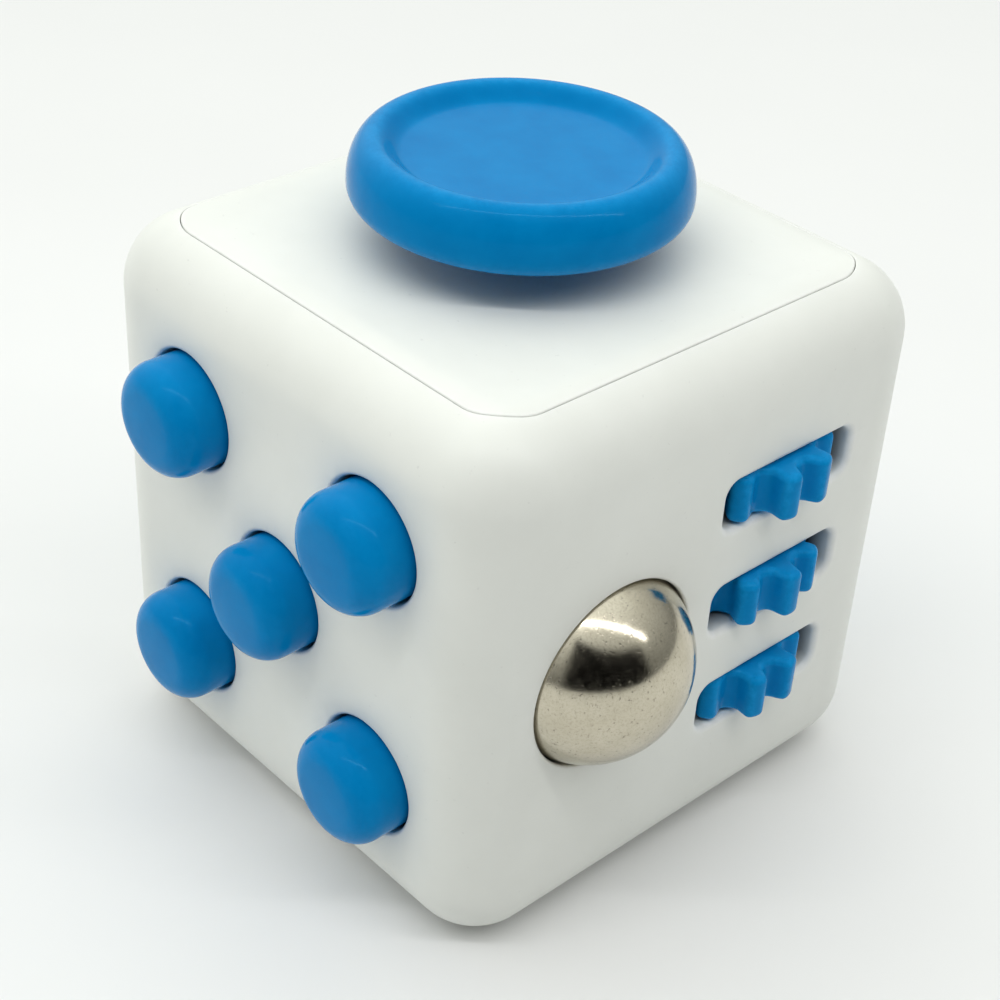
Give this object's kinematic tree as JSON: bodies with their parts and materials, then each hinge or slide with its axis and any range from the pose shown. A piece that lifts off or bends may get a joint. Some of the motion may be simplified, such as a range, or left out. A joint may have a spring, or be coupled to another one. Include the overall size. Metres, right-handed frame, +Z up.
{
  "type": "fidget cube",
  "caption": "Pocket fidget cube: white case with push buttons, a rolling ball, toothed wheels, a joystick, a rocker switch, a spin dial and a thumb dish.",
  "frame": {"origin": "middle of the face that the cube rests on", "axes": "+Z up out of the joystick face, -Y out of the button face, +X out of the ball and gear face"},
  "size_m": [0.0399, 0.0385, 0.0388],
  "materials": {
    "white_plastic": "satin",
    "blue_plastic": "satin",
    "polished_steel": "polished",
    "inner_plastic": "matte",
    "screw_steel": "satin",
    "sprung_steel": "bright",
    "soft_rubber": "matte"
  },
  "bodies": {
    "case": {"side_shell": "white_plastic", "top_panel": "white_plastic", "base_panel": "white_plastic", "click_dome_upper_left": "sprung_steel", "click_dome_centre": "sprung_steel", "click_dome_lower_right": "sprung_steel", "silent_cup_upper_right": "soft_rubber", "silent_cup_lower_left": "soft_rubber", "button_backplate": "inner_plastic", "backplate_screws": "screw_steel", "ball_spring": "sprung_steel", "ball_bracket": "inner_plastic", "ball_bracket_screws": "screw_steel", "gear_axle": "screw_steel", "gear_frame": "inner_plastic", "gear_frame_screws": "screw_steel", "gear_click_spring_upper": "sprung_steel", "gear_click_spring_middle": "sprung_steel", "gear_click_spring_lower": "sprung_steel", "joystick_cradle": "inner_plastic", "joystick_cradle_screws": "screw_steel", "joystick_spring": "sprung_steel", "rocker_frame": "inner_plastic", "rocker_frame_screws": "screw_steel", "rocker_click_spring": "sprung_steel", "rocker_spring_screws": "screw_steel", "dial_click_spring": "sprung_steel"},
    "button_upper_left": {"button_upper_left": "blue_plastic"},
    "button_upper_right": {"button_upper_right": "blue_plastic"},
    "button_centre": {"button_centre": "blue_plastic"},
    "button_lower_left": {"button_lower_left": "blue_plastic"},
    "button_lower_right": {"button_lower_right": "blue_plastic"},
    "ball_carrier": {"ball_carrier": "inner_plastic"},
    "ball": {"roller_ball": "polished_steel"},
    "gear_upper": {"gear_upper": "blue_plastic"},
    "gear_middle": {"gear_middle": "blue_plastic"},
    "gear_lower": {"gear_lower": "blue_plastic"},
    "gimbal": {"joystick_gimbal_ring": "inner_plastic", "joystick_pivot_pin": "screw_steel"},
    "joystick": {"joystick_stem": "blue_plastic", "joystick_cap": "blue_plastic"},
    "rocker": {"rocker_switch": "blue_plastic"},
    "dial": {"dial_knob": "blue_plastic", "dial_retainer": "inner_plastic", "dial_screw": "screw_steel"}
  },
  "joints": [
    {"name": "press_upper_left", "type": "slide", "parent": "case", "child": "button_upper_left", "axis": [0, 1, 0], "range_m": [0, 0.001], "stiffness_N_per_m": 800, "deforming": ["click_dome_upper_left"]},
    {"name": "press_upper_right", "type": "slide", "parent": "case", "child": "button_upper_right", "axis": [0, 1, 0], "range_m": [0, 0.001], "stiffness_N_per_m": 800, "deforming": ["silent_cup_upper_right"]},
    {"name": "press_centre", "type": "slide", "parent": "case", "child": "button_centre", "axis": [0, 1, 0], "range_m": [0, 0.001], "stiffness_N_per_m": 800, "deforming": ["click_dome_centre"]},
    {"name": "press_lower_left", "type": "slide", "parent": "case", "child": "button_lower_left", "axis": [0, 1, 0], "range_m": [0, 0.001], "stiffness_N_per_m": 800, "deforming": ["silent_cup_lower_left"]},
    {"name": "press_lower_right", "type": "slide", "parent": "case", "child": "button_lower_right", "axis": [0, 1, 0], "range_m": [0, 0.001], "stiffness_N_per_m": 800, "deforming": ["click_dome_lower_right"]},
    {"name": "ball_press", "type": "slide", "parent": "case", "child": "ball_carrier", "axis": [-1, 0, 0], "range_m": [0, 0.0011], "stiffness_N_per_m": 900, "springref_m": -0.0004, "deforming": ["ball_spring"]},
    {"name": "ball_roll", "type": "hinge", "parent": "ball_carrier", "child": "ball", "pos_m": [0.0145, -0.00713, 0.0166], "axis": [0, 1, 0], "continuous": true},
    {"name": "spin_gear_upper", "type": "hinge", "parent": "case", "child": "gear_upper", "pos_m": [0.01335, 0.0053, 0.02367], "axis": [0, 0, 1], "continuous": true, "deforming": ["gear_click_spring_upper"]},
    {"name": "spin_gear_middle", "type": "hinge", "parent": "case", "child": "gear_middle", "pos_m": [0.01335, 0.0053, 0.01681], "axis": [0, 0, 1], "continuous": true, "deforming": ["gear_click_spring_middle"]},
    {"name": "spin_gear_lower", "type": "hinge", "parent": "case", "child": "gear_lower", "pos_m": [0.01335, 0.0053, 0.00995], "axis": [0, 0, 1], "continuous": true, "deforming": ["gear_click_spring_lower"]},
    {"name": "joystick_tilt_x", "type": "hinge", "parent": "case", "child": "gimbal", "pos_m": [0, 0, 0.0284], "axis": [1, 0, 0], "range_deg": [-8.5, 8.5], "stiffness_Nm_per_rad": 0.02, "deforming": ["joystick_spring"]},
    {"name": "joystick_tilt_y", "type": "hinge", "parent": "gimbal", "child": "joystick", "pos_m": [0, 0, 0.0284], "axis": [0, 1, 0], "range_deg": [-8.5, 8.5], "stiffness_Nm_per_rad": 0.02, "deforming": ["joystick_spring"]},
    {"name": "rocker_flip", "type": "hinge", "parent": "case", "child": "rocker", "pos_m": [-0.0149, 0, 0.0165], "axis": [0, 1, 0], "range_deg": [0, 18], "deforming": ["rocker_click_spring"]},
    {"name": "dial_spin", "type": "hinge", "parent": "case", "child": "dial", "pos_m": [0, 0.0165, 0.0165], "axis": [0, 1, 0], "continuous": true, "deforming": ["dial_click_spring"]}
  ]
}
